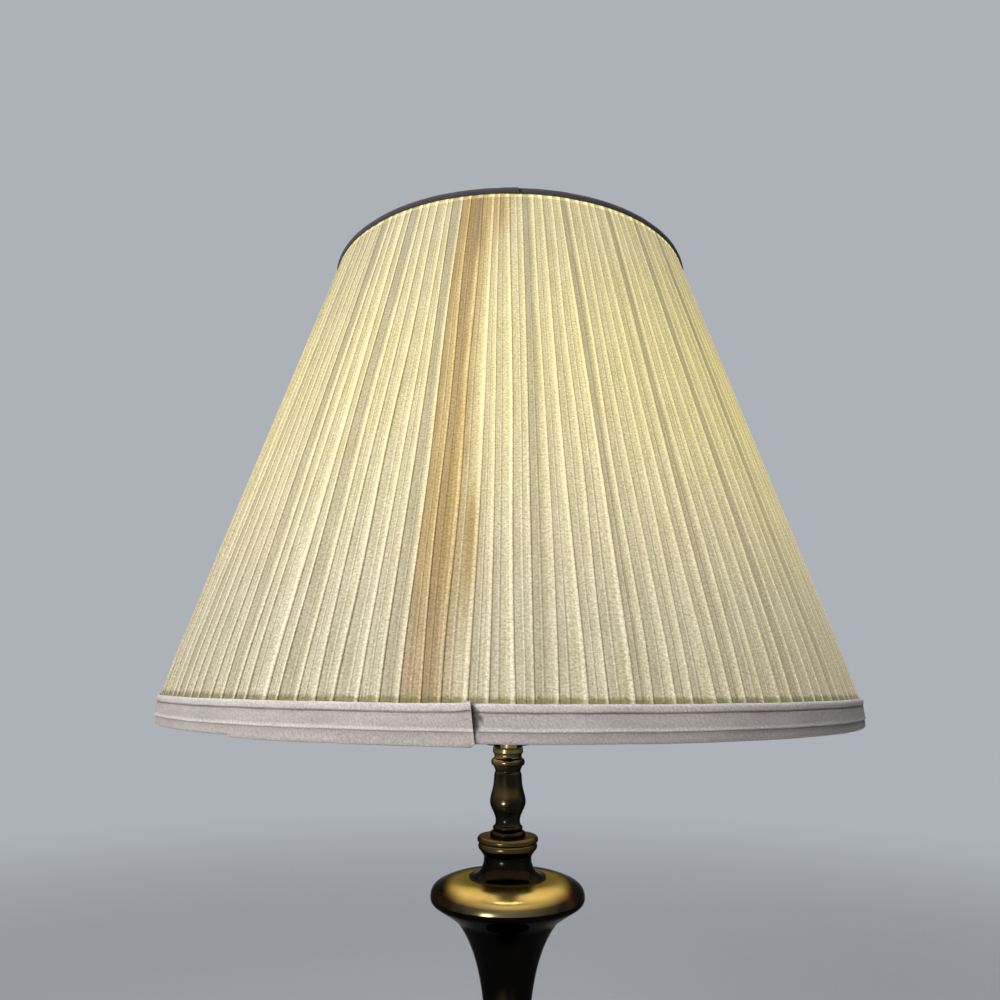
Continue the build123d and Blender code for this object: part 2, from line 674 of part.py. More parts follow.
with BuildPart() as bulb_leads:
    for side in (-1, 1):
        with BuildLine(Plane.XZ):
            FilletPolyline(
                (side * 2.0, MOUNT_TOP_Z),
                (side * 2.0, MOUNT_TOP_Z + 4.0),
                (side * FILAMENT_HALF, FILAMENT_Z - 6.0),
                (side * FILAMENT_HALF, FILAMENT_Z - FILAMENT_R),
                radius=2.5,
            )
        with BuildSketch(Plane.XY.offset(MOUNT_TOP_Z)):
            with Locations((side * 2.0, 0)):
                Circle(LEAD_R)
        sweep()

with BuildPart() as bulb_filament:
    with BuildSketch(Plane.YZ.offset(-FILAMENT_HALF - 1)):
        with Locations((0, FILAMENT_Z)):
            Circle(FILAMENT_R)
    extrude(amount=2 * FILAMENT_HALF + 2)

# ============================ shade ===========================================================
TOP_RING_Z = 809.3
BOTTOM_RING_Z = 491.0
LINER_FOOT_Z = 489.3
LINER_TOP_Z = 811.0
COVER_FOOT_Z = SHADE_EDGE_Z - TAPE_REACH
COVER_TOP_Z = 810.0
COVER_FOOT_R = 225.9          # the lower ring draws the pleat crests in to here, from DRAW_Z down
DRAW_Z = 534.0
FITTER_R = 19.0
FITTER_HOLE_R = 5.5
FITTER_T = 1.6
FITTER_TOP_Z = WASHER_Z + FITTER_T


def liner_outer_radius(z):
    """The liner follows the cone down to the edge of the tape, and is straight inside the tape."""
    return shade_radius(max(z, SHADE_EDGE_Z)) - COVER_DEPTH - LINER_GAP


def ring_radius(z):
    """Centre of a rim wire that lies inside the liner at height z."""
    return liner_outer_radius(z) - LINER_WALL - RIM_WIRE_R - LINER_GAP


TOP_RING_R = ring_radius(LINER_TOP_Z)
BOTTOM_RING_R = ring_radius(BOTTOM_RING_Z + RIM_WIRE_R)
ARM_Z = FITTER_TOP_Z + ARM_R - 0.6

with BuildPart() as shade_frame:
    with BuildSketch(Plane.XY.offset(WASHER_Z)):
        Circle(FITTER_R)
    extrude(amount=FITTER_T)
    for turn in range(ARM_COUNT):
        arm_plane = Plane.XZ.rotated((0, 0, 90 + turn * 360 / ARM_COUNT))
        with BuildLine(arm_plane):
            FilletPolyline(
                (STUD_FLANGE_R + 2.0, ARM_Z),
                (TOP_RING_R - 18.0, ARM_Z),
                (TOP_RING_R, TOP_RING_Z),
                radius=12.0,
            )
        with BuildSketch(Plane(arm_plane.from_local_coords((STUD_FLANGE_R + 2.0, ARM_Z)),
                               z_dir=arm_plane.x_dir)):
            Circle(ARM_R)
        sweep()
    with BuildSketch(Plane.XZ):
        with Locations((TOP_RING_R, TOP_RING_Z)):
            Circle(RIM_WIRE_R)
    revolve(axis=Axis.Z)
    with BuildSketch(Plane.XY.offset(WASHER_Z - 1)):
        Circle(FITTER_HOLE_R)
    extrude(amount=FITTER_T + 3, mode=Mode.SUBTRACT)

with BuildPart() as bottom_ring:
    with BuildSketch(Plane.XZ):
        with Locations((BOTTOM_RING_R, BOTTOM_RING_Z)):
            Circle(RIM_WIRE_R)
    revolve(axis=Axis.Z)

with BuildPart() as shade_liner:
    with BuildSketch(Plane.XZ):
        with BuildLine():
            Polyline(
                (liner_outer_radius(LINER_FOOT_Z), LINER_FOOT_Z),
                (liner_outer_radius(SHADE_EDGE_Z), SHADE_EDGE_Z),
                (liner_outer_radius(LINER_TOP_Z), LINER_TOP_Z),
                (liner_outer_radius(LINER_TOP_Z) - LINER_WALL, LINER_TOP_Z),
                (liner_outer_radius(SHADE_EDGE_Z) - LINER_WALL, SHADE_EDGE_Z),
                (liner_outer_radius(LINER_FOOT_Z) - LINER_WALL, LINER_FOOT_Z),
                close=True,
            )
        make_face()
    revolve(axis=Axis.Z)


def pleat_outline(z):
    """Root and crest of every pleat at height z. The pleats narrow in step with the cone."""
    crest_r = COVER_FOOT_R if z == COVER_FOOT_Z else shade_radius(z)
    scale = crest_r / SHADE_R_BOTTOM
    points = []
    for pleat in range(PLEATS):
        uneven = 0.16 * sin(2.4 * pleat) + 0.10 * sin(0.7 * pleat)
        root = 2 * pi * (pleat + uneven) / PLEATS
        crest = root + 2 * pi * PLEAT_STEP / PLEATS
        depth = PLEAT_DEPTH * (1 + 0.25 * sin(1.9 * pleat))
        root_r = crest_r - depth * scale
        points.append((root_r * cos(root), root_r * sin(root)))
        points.append((crest_r * cos(crest), crest_r * sin(crest)))
    return points


with BuildPart() as shade_cover:
    for z in (COVER_FOOT_Z, DRAW_Z, COVER_TOP_Z):
        with BuildSketch(Plane.XY.offset(z)):
            with BuildLine():
                Polyline(*pleat_outline(z), close=True)
            make_face()
    loft(ruled=True)
    with BuildSketch(Plane.XZ):
        with BuildLine():
            Polyline(
                (0, COVER_FOOT_Z - 1),
                (SHADE_R_BOTTOM - COVER_DEPTH, COVER_FOOT_Z - 1),
                (SHADE_R_BOTTOM - COVER_DEPTH, SHADE_EDGE_Z),
                (shade_radius(COVER_TOP_Z + 1) - COVER_DEPTH, COVER_TOP_Z + 1),
                (0, COVER_TOP_Z + 1),
                close=True,
            )
        make_face()
    revolve(axis=Axis.Z, mode=Mode.SUBTRACT)

BOTTOM_TAPE_INNER_R = 217.7

with BuildPart() as bottom_trim:
    with BuildSketch(Plane.XZ):
        with BuildLine():
            Polyline(
                (225.3, SHADE_EDGE_Z),
                (226.0, SHADE_EDGE_Z + 0.2),
                (226.8, 500.9),
                (226.5, 500.4),
                (227.0, 492.4),
                (226.6, 488.6),
                (225.0, 487.9),
                (BOTTOM_TAPE_INNER_R + 1.2, 487.9),
                (BOTTOM_TAPE_INNER_R, 489.2),
                (BOTTOM_TAPE_INNER_R, 499.0),
                (BOTTOM_TAPE_INNER_R + 0.8, 499.0),
                (BOTTOM_TAPE_INNER_R + 0.8, 489.6),
                (BOTTOM_TAPE_INNER_R + 1.6, 488.8),
                (225.6, 488.8),
                (225.9, 500.0),
                (226.1, 501.5),
                close=True,
            )
        make_face()
    revolve(axis=Axis.Z)

TOP_TAPE_INNER_R = 121.8
TOP_TAPE_FOOT_Z = 803.0       # lower edge of the tape inside the shade
ARM_NOTCH_H = 8.0             # cut in that edge where an arm of the frame passes

with BuildPart() as top_trim:
    with BuildSketch(Plane.XZ):
        with BuildLine():
            Polyline(
                (132.2, SHADE_EDGE_Z + SHADE_HEIGHT),
                (132.9, SHADE_EDGE_Z + SHADE_HEIGHT + 0.2),
                (133.0, 811.2),
                (132.2, 812.5),
                (126.5, 812.9),
                (TOP_TAPE_INNER_R + 0.8, 812.4),
                (TOP_TAPE_INNER_R, 811.3),
                (TOP_TAPE_INNER_R, TOP_TAPE_FOOT_Z),
                (TOP_TAPE_INNER_R + 0.8, TOP_TAPE_FOOT_Z),
                (TOP_TAPE_INNER_R + 0.8, 810.9),
                (124.0, 811.9),
                (131.4, 811.9),
                (132.2, 810.8),
                close=True,
            )
        make_face()
    revolve(axis=Axis.Z)
    with Locations((0, 0, TOP_TAPE_FOOT_Z + ARM_NOTCH_H / 2)):
        with PolarLocations(TOP_TAPE_INNER_R, ARM_COUNT, start_angle=90):
            Box(6.0, 2 * ARM_R + 1.2, ARM_NOTCH_H, mode=Mode.SUBTRACT)

FINIAL_Z = FITTER_TOP_Z + SLACK
FINIAL_TOP_Z = 817.5
FINIAL_BORE_R = STUD_R + SLACK

with BuildPart() as finial:
    with BuildSketch(Plane.XZ):
        with BuildLine():
            seat = Line((FINIAL_BORE_R, FINIAL_Z), (7.6, FINIAL_Z))
            base = ThreePointArc(seat @ 1, (8.3, FINIAL_Z + 1.2), (7.2, FINIAL_Z + 2.4))
            stem = Spline(
                base @ 1, (4.6, FINIAL_Z + 5.5), (5.6, FINIAL_Z + 9.0), tangents=[(-1, 0.3), (1, 1)]
            )
            urn = ThreePointArc(stem @ 1, (9.4, FINIAL_Z + 17.5), (4.6, FINIAL_Z + 26.5))
            neck = ThreePointArc(urn @ 1, (3.2, FINIAL_Z + 29.2), (3.6, FINIAL_Z + 32.0))
            tip = Spline(
                neck @ 1, (4.7, FINIAL_Z + 36.5), (0, FINIAL_TOP_Z), tangents=[(0.6, 1), (-1, 0)]
            )
            axis_line = Line(tip @ 1, (0, STUD_TOP_Z + 1.0))
            roof = Line(axis_line @ 1, (FINIAL_BORE_R, STUD_TOP_Z + 1.0))
            Line(roof @ 1, seat @ 0)
        make_face()
    revolve(axis=Axis.Z)

# ============================ one file for each piece ==========================================
PIECES = {
    "felt_pad": felt_pad,
    "base_shell": base_shell,
    "base_weight": base_weight,
    "cord_bushing": cord_bushing,
    "base_washer": base_washer,
    "base_lock_nut": base_lock_nut,
    "base_collar": base_collar,
    "knop": knop,
    "column_seat": column_seat,
    "trumpet_column": trumpet_column,
    "drip_pan_underside": drip_pan_underside,
    "drip_pan_top": drip_pan_top,
    "neck_collar": neck_collar,
    "turned_neck": turned_neck,
    "lamp_pipe": lamp_pipe,
    "harp_saddle": harp_saddle,
    "harp": harp,
    "harp_sleeve_front": harp_sleeve_front,
    "harp_sleeve_rear": harp_sleeve_rear,
    "harp_stud": harp_stud,
    "socket_cap": socket_cap,
    "socket_shell": socket_shell,
    "socket_insulator": socket_insulator,
    "socket_body": socket_body,
    "screw_shell": screw_shell,
    "centre_contact": centre_contact,
    "terminal_screws": terminal_screws,
    "switch_stem": switch_stem,
    "switch_knob": switch_knob,
    "bulb_cap": bulb_cap,
    "bulb_insulator": bulb_insulator,
    "bulb_glass": bulb_glass,
    "bulb_mount": bulb_mount,
    "bulb_leads": bulb_leads,
    "bulb_filament": bulb_filament,
    "shade_frame": shade_frame,
    "bottom_ring": bottom_ring,
    "shade_liner": shade_liner,
    "shade_cover": shade_cover,
    "bottom_trim": bottom_trim,
    "top_trim": top_trim,
    "finial": finial,
}

for name, piece in PIECES.items():
    piece.part.label = name
    export_step(piece.part, f"parts/{name}.step")
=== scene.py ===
import math

import bpy
import numpy as np
from mathutils import Matrix, Vector


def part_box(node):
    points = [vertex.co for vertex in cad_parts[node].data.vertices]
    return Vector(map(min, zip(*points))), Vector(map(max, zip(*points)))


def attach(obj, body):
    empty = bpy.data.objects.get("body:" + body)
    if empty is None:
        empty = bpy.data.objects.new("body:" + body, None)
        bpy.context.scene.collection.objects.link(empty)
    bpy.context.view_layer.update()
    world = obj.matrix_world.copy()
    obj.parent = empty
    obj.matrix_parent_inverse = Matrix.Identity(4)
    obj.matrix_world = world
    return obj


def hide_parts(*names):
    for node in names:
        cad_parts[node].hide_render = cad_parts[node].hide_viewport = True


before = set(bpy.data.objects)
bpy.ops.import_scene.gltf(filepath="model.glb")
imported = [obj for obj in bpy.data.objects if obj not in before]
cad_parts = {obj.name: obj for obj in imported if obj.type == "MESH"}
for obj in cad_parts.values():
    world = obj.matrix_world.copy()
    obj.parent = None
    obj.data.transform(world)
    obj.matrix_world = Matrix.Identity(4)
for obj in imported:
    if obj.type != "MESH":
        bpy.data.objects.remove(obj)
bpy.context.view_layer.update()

# Candlestick table lamp, lit, with a knife-pleated empire shade. Metres, +Z up, front towards -Y.
# An azimuth is measured from the front of the shade, positive towards +X, in degrees.

MM = 0.001


# ============================ shader arithmetic ===============================================
class Value:
    """A socket of a finish that takes part in ordinary arithmetic."""

    def __init__(self, finish, socket):
        self.finish = finish
        self.socket = socket

    def _math(self, operation, *terms):
        inputs = dict(enumerate(terms))
        return self.finish.add("ShaderNodeMath", {"operation": operation}, inputs)

    def __add__(self, other):
        return self._math("ADD", self, other)

    def __radd__(self, other):
        return self._math("ADD", other, self)

    def __sub__(self, other):
        return self._math("SUBTRACT", self, other)

    def __rsub__(self, other):
        return self._math("SUBTRACT", other, self)

    def __mul__(self, other):
        return self._math("MULTIPLY", self, other)

    def __rmul__(self, other):
        return self._math("MULTIPLY", other, self)

    def __truediv__(self, other):
        return self._math("DIVIDE", self, other)

    def __pow__(self, other):
        return self._math("POWER", self, other)

    def sine(self):
        return self._math("SINE", self)

    def clamped(self):
        return self.finish.add("ShaderNodeClamp", {}, {"Value": self})

    def bell(self, centre, width):
        """1 at centre, dying away smoothly over width."""
        off = (self - centre) / width
        return self._math("EXPONENT", off * off * -1)

    def between(self, low, high):
        """0 below low, 1 above high, with a smooth rise."""
        settings = {"interpolation_type": "SMOOTHSTEP"}
        return self.finish.add("ShaderNodeMapRange", settings, {0: self, 1: low, 2: high})


class Finish:
    """One procedural material under construction."""

    def __init__(self, name, owner=None):
        self.material = owner or bpy.data.materials.new(name)
        self.material.use_nodes = True
        self.tree = self.material.node_tree
        self.tree.nodes.clear()

    def add(self, kind, settings, inputs, output=0):
        node = self.tree.nodes.new(kind)
        for name, value in settings.items():
            setattr(node, name, value)
        for name, value in inputs.items():
            if isinstance(value, Value):
                self.tree.links.new(value.socket, node.inputs[name])
            else:
                node.inputs[name].default_value = value
        return Value(self, node.outputs[output]) if node.outputs else None

    def place(self):
        """A point of the piece, in metres."""
        return self.add("ShaderNodeTexCoord", {}, {}, "Object")

    def attribute(self, name, output="Fac"):
        return self.add("ShaderNodeAttribute", {"attribute_name": name}, {}, output)

    def split(self, vector):
        node = self.add("ShaderNodeSeparateXYZ", {}, {"Vector": vector})
        return [Value(self, socket) for socket in node.socket.node.outputs]

    def height(self):
        """How far a point of the piece lies above the table."""
        return self.split(self.place())[2]

    def join(self, x, y, z=0.0):
        return self.add("ShaderNodeCombineXYZ", {}, {"X": x, "Y": y, "Z": z})

    def noise(self, vector, scale, detail=2.0, roughness=0.5):
        inputs = {"Vector": vector, "Scale": scale, "Detail": detail, "Roughness": roughness}
        return self.add("ShaderNodeTexNoise", {}, inputs)

    def stretched(self, x, y, z):
        """The piece's own coordinates scaled by x, y and z, for grain that runs one way."""
        inputs = {0: self.place(), 1: (x, y, z)}
        return self.add("ShaderNodeVectorMath", {"operation": "MULTIPLY"}, inputs)

    def mix(self, factor, first, second, blend="MIX"):
        settings = {"data_type": "RGBA", "blend_type": blend}
        return self.add("ShaderNodeMix", settings, {0: factor, 6: colour(first), 7: colour(second)}, 2)

    def tint(self, colour_value, amount):
        """A colour multiplied by a number that may change over the surface."""
        inputs = {0: colour(colour_value), "Scale": amount}
        if not isinstance(colour_value, Value):
            inputs[0] = colour_value[:3]
        return self.add("ShaderNodeVectorMath", {"operation": "SCALE"}, inputs)

    def bump(self, height, distance, strength=1.0):
        inputs = {"Height": height, "Distance": distance, "Strength": strength}
        return self.add("ShaderNodeBump", {}, inputs)

    def surface(self, **inputs):
        """Closes the finish with a principled surface."""
        named = {name.replace("_", " ").title().replace("Ior", "IOR"): v for name, v in inputs.items()}
        for name in ("Base Color", "Emission Color"):
            if name in named:
                named[name] = colour(named[name])
        shader = self.add("ShaderNodeBsdfPrincipled", {}, named)
        self.close(shader)
        return self.material

    def close(self, shader):
        self.add("ShaderNodeOutputMaterial", {}, {"Surface": shader})


def colour(value):
    """A colour as a socket takes it."""
    return value if isinstance(value, Value) else (*value[:3], 1.0)


# ============================ mesh helpers ====================================================
def new_piece(name, points, faces, material, body, smooth=True):
    """A mesh piece in the lamp's own frame that rides on a body."""
    mesh = bpy.data.meshes.new(name)
    mesh.from_pydata([tuple(p) for p in points], [], [tuple(int(i) for i in f) for f in faces])
    mesh.validate()
    mesh.polygons.foreach_set("use_smooth", [smooth] * len(mesh.polygons))
    mesh.materials.append(material)
    piece = bpy.data.objects.new(name, mesh)
    bpy.context.scene.collection.objects.link(piece)
    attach(piece, body)
    return piece


def grid_faces(rows, columns, closed_rows=False, closed_columns=False):
    """Quads between the points of a grid, which are numbered row by row."""
    faces = []
    for r in range(rows if closed_rows else rows - 1):
        for c in range(columns if closed_columns else columns - 1):
            here, right = r * columns + c, r * columns + (c + 1) % columns
            up = ((r + 1) % rows) * columns
            faces.append((here, right, up + (c + 1) % columns, up + c))
    return faces


def on_cone(radius, azimuth, height):
    """Points round the axis, with azimuth in degrees from the front."""
    angle = np.radians(azimuth)
    return np.stack([radius * np.sin(angle), -radius * np.cos(angle), height + 0 * angle], axis=-1)


def store(piece, name, values):
    """Keeps a number or a vector for each point of a piece, for its finish."""
    values = np.asarray(values, np.float32)
    kind, field = ("FLOAT", "value") if values.ndim == 1 else ("FLOAT_VECTOR", "vector")
    attribute = piece.data.attributes.new(name, kind, "POINT")
    attribute.data.foreach_set(field, values.ravel())


# ============================ finishes ========================================================
BRONZE_BLACK = (0.0020, 0.0016, 0.0010)
NECK_BROWN = (0.015, 0.012, 0.008)
COLLAR_BROWN = (0.006, 0.005, 0.0035)
PAN_BROWN = (0.032, 0.020, 0.009)
OLD_GOLD = (0.240, 0.195, 0.095)
UMBER = (0.070, 0.050, 0.018)
PALE_GOLD = (0.720, 0.610, 0.285)
GRIME = (0.008, 0.006, 0.004)
COLLAR_Z = 0.4020                     # the collar is lighter above this height
REFLECTION_FORWARD = 0.0110                  # centre of the pan's painted reflection of the lit shade, this far in front of its axis
# how far round the pan that painted reflection reaches
REFLECTION_REACH = 0.0405
COLUMN_PATCHES_TOP_Z = (0.310, 0.355)    # the column's bright patches and streaks die away between these heights, so it is dark under the pan


def bronzed(name, wear_and_gleam_share, bright, dark=BRONZE_BLACK, worn_edges=0.0, streak_and_glint_share=0.15, brightness_pattern=None):
    """Brass under a smooth brown-black bronzing, which use has rubbed through in soft patches. The pan's
    bright front band is a painted reflection, and the column's long streaks are partly painted reflections.
    """
    f = Finish(name)
    cloud = f.noise(f.place(), 34.0, 1.0, 0.4)
    faint = f.noise(f.stretched(90, 90, 6), 1.0, 1.0, 0.4)
    speck = f.noise(f.place(), 1500.0, 2.0, 0.7)
    patches = cloud * (1 - streak_and_glint_share) + faint * streak_and_glint_share
    wear_and_gleam = patches.between(0.80 - wear_and_gleam_share, 1.02 - wear_and_gleam_share)
    if worn_edges:
        convex = f.add("ShaderNodeNewGeometry", {}, {}, "Pointiness").between(0.515, 0.57)
        wear_and_gleam = (wear_and_gleam + convex * worn_edges).clamped()
    x, y, z = f.split(f.place())
    if brightness_pattern == "collar":
        wear_and_gleam = (wear_and_gleam + z.between(COLLAR_Z - 0.0015, COLLAR_Z + 0.001) * (0.15 + 0.35 * cloud)).clamped()
    if brightness_pattern == "pan":
        # painted reflection: gold in front, where the pan mirrors the lit shade above, and dark at its
        # sides and back
        forward = y + REFLECTION_FORWARD
        reach = (x * x + forward * forward) ** 0.5
        wear_and_gleam = (1 - reach.between(REFLECTION_REACH - 0.006, REFLECTION_REACH + 0.003)) * (0.78 + 0.22 * wear_and_gleam)
    if brightness_pattern == "column":
        wear_and_gleam = wear_and_gleam * (1 - z.between(*COLUMN_PATCHES_TOP_Z))
    brown = f.mix(faint.between(0.40, 0.80), dark, tuple(c * 2.2 for c in dark))
    base = f.mix(wear_and_gleam, brown, f.mix(cloud, bright, tuple(c * 0.75 for c in bright)))
    base = f.mix(speck.between(0.66, 0.80) * 0.4, base, GRIME)
    turning = f.noise(f.stretched(120, 120, 5200), 1.0, 1.0)
    return f.surface(
        base_color=base,
        metallic=1.0,
        roughness=0.17 + 0.08 * cloud + 0.06 * speck,
        specular_tint=(0.26, 0.21, 0.14, 1.0),
        normal=f.bump(turning + 0.4 * speck, 0.00002, 0.5),
        coat_weight=0.03 + 0.05 * (1 - wear_and_gleam),
        coat_roughness=0.06,
    )


def plated_steel(name, tone=(0.72, 0.58, 0.30)):
    """Thin brass plate on drawn steel, a little tarnished."""
    f = Finish(name)
    cloud = f.noise(f.place(), 120.0, 3.0, 0.6)
    draw = f.noise(f.stretched(900, 900, 40), 1.0, 2.0)
    shade = f.mix(cloud.between(0.42, 0.78), tone, tuple(c * 0.45 for c in tone))
    return f.surface(
        base_color=shade,
        metallic=1.0,
        roughness=0.20 + 0.18 * cloud,
        normal=f.bump(draw, 0.00003),
    )


def machined(name, tone, rough, ring_pitch=0.0005):
    """Bright turned metal with fine tool rings."""
    f = Finish(name)
    rings = (f.height() * (2 * math.pi / ring_pitch)).sine()
    cloud = f.noise(f.place(), 300.0, 3.0)
    return f.surface(
        base_color=f.mix(cloud, tone, tuple(c * 0.7 for c in tone)),
        metallic=1.0,
        roughness=rough + 0.15 * cloud,
        normal=f.bump(rings, 0.00002, 0.4),
    )


def moulded(name, tone, rough, grain=1400.0):
    """Moulded plastic with a fine grain."""
    f = Finish(name)
    pits = f.noise(f.place(), grain, 2.0, 0.6)
    cloud = f.noise(f.place(), 90.0, 3.0)
    return f.surface(
        base_color=f.mix(cloud, tone, tuple(c * 0.8 + 0.01 for c in tone)),
        roughness=rough + 0.12 * pits,
        normal=f.bump(pits, 0.00003, 0.6),
    )


def rough_cast(name):
    f = Finish(name)
    lumps = f.noise(f.place(), 260.0, 5.0, 0.65)
    rust = f.noise(f.place(), 45.0, 4.0, 0.6)
    base = f.mix(rust.between(0.50, 0.75), (0.055, 0.055, 0.058), (0.16, 0.075, 0.035))
    rough = 0.62 + 0.2 * rust
    return f.surface(base_color=base, metallic=0.6, roughness=rough, normal=f.bump(lumps, 0.0006))


def wool_felt(name):
    f = Finish(name)
    fibre = f.noise(f.place(), 1500.0, 4.0, 0.75)
    cloud = f.noise(f.place(), 90.0, 3.0)
    base = f.mix(fibre * 0.7 + cloud * 0.3, (0.020, 0.060, 0.035), (0.075, 0.150, 0.095))
    return f.surface(base_color=base, roughness=0.95, sheen_weight=0.4, normal=f.bump(fibre, 0.0003))


def fibre_card(name):
    f = Finish(name)
    fleck = f.noise(f.place(), 1100.0, 3.0, 0.7)
    base = f.mix(fleck, (0.30, 0.25, 0.18), (0.46, 0.40, 0.31))
    return f.surface(base_color=base, roughness=0.85, normal=f.bump(fleck, 0.00006))


def white_enamel(name):
    f = Finish(name)
    orange_peel = f.noise(f.place(), 700.0, 2.0)
    cloud = f.noise(f.place(), 60.0, 3.0)
    base = f.mix(cloud, (0.74, 0.72, 0.66), (0.62, 0.58, 0.50))
    return f.surface(base_color=base, roughness=0.35 + 0.1 * cloud, normal=f.bump(orange_peel, 0.00004))


BULB_WARMTH = (1.0, 0.80, 0.48)
LINER_WARMTH = (1.0, 0.80, 0.46)
FILAMENT_Z = 0.577
BRIGHT_LINER_Z = 0.600                # middle of the part of the liner that the bulb lights most


def lit_laminate(name):
    """The liner behind the fabric, bright where the bulb is nearest."""
    f = Finish(name)
    near_bulb = f.height().bell(BRIGHT_LINER_Z, 0.155)
    cloud = f.noise(f.place(), 30.0, 3.0)
    glow = (near_bulb * 0.55 + 0.26) * (0.92 + 0.16 * cloud)
    fibres = f.noise(f.place(), 800.0, 3.0, 0.7)
    return f.surface(
        base_color=f.mix(fibres, (0.60, 0.55, 0.46), (0.70, 0.66, 0.57)),
        roughness=0.55,
        emission_color=f.tint(LINER_WARMTH, glow),
        emission_strength=1.0,
        normal=f.bump(fibres, 0.00005),
    )


def lit_bulb(name):
    """Soft white glass, brightest in front of the filament."""
    f = Finish(name)
    hot = f.height().bell(FILAMENT_Z, 0.026)
    cloud = f.noise(f.place(), 70.0, 2.0)
    return f.surface(
        base_color=(0.85, 0.83, 0.78),
        roughness=0.18,
        emission_color=f.tint(BULB_WARMTH, (0.42 + 0.58 * hot) * (0.97 + 0.06 * cloud)),
        emission_strength=10.0,
        normal=f.bump(cloud, 0.00005),
    )


def hot_wire(name):
    f = Finish(name)
    coil = f.noise(f.place(), 2500.0, 1.0)
    return f.surface(
        base_color=(0.5, 0.45, 0.4),
        roughness=0.4,
        emission_color=f.mix(coil, (1.0, 0.62, 0.25), (1.0, 0.80, 0.45)),
        emission_strength=9.0,
    )


IVORY = (0.485, 0.450, 0.380)         # the cloth by daylight
IVORY_SHADE = (0.330, 0.308, 0.225)
FOLD_HIGHLIGHT = (0.700, 0.650, 0.595)     # painted highlight on the raised edge of a fold
LAYERED_SHADE = (0.300, 0.250, 0.180)       # painted shade where three layers lie on each other
# painted shade at the pleat roots along the cloth's foot
ROOT_SHADE_OLIVE = (0.190, 0.180, 0.070)
LAMPLIGHT = (1.0, 0.810, 0.180)       # light that comes through one layer
LOW_LAMPLIGHT = (1.0, 0.850, 0.420)   # the same near the foot, after it has been thrown about inside
STAIN_BROWN = (0.88, 0.69, 0.40)
STAIN_ROSE = (0.86, 0.71, 0.56)       # the stain lower down, where it has faded
STAINED_LAMPLIGHT = (1.0, 0.68, 0.14)
HEAD_LAMPLIGHT = (1.0, 0.88, 0.46)    # the thin bright line under the upper tape
FOLDED_SHADE_MAUVE = (0.230, 0.165, 0.160)  # painted shade where the cloth is doubled over at the head of the stain
STAINED_PLEAT = 64                    # the first of the three that the water ran down
SIDE_RUN_AZIMUTH = -5.8               # a thin run of water beside them
SPREAD_AZIMUTH = -8.4                 # the paler stain around them, and its part right at the head
HEAD_SPREAD_AZIMUTH = -2.8
HEAD_FOLD_AZIMUTH = -8.5
LOW_PATCH_Z = 0.572                   # where the side run and the spread are darkest
FOOT_Z, HEAD_Z = 0.504, 0.808         # where the tapes cover the cloth


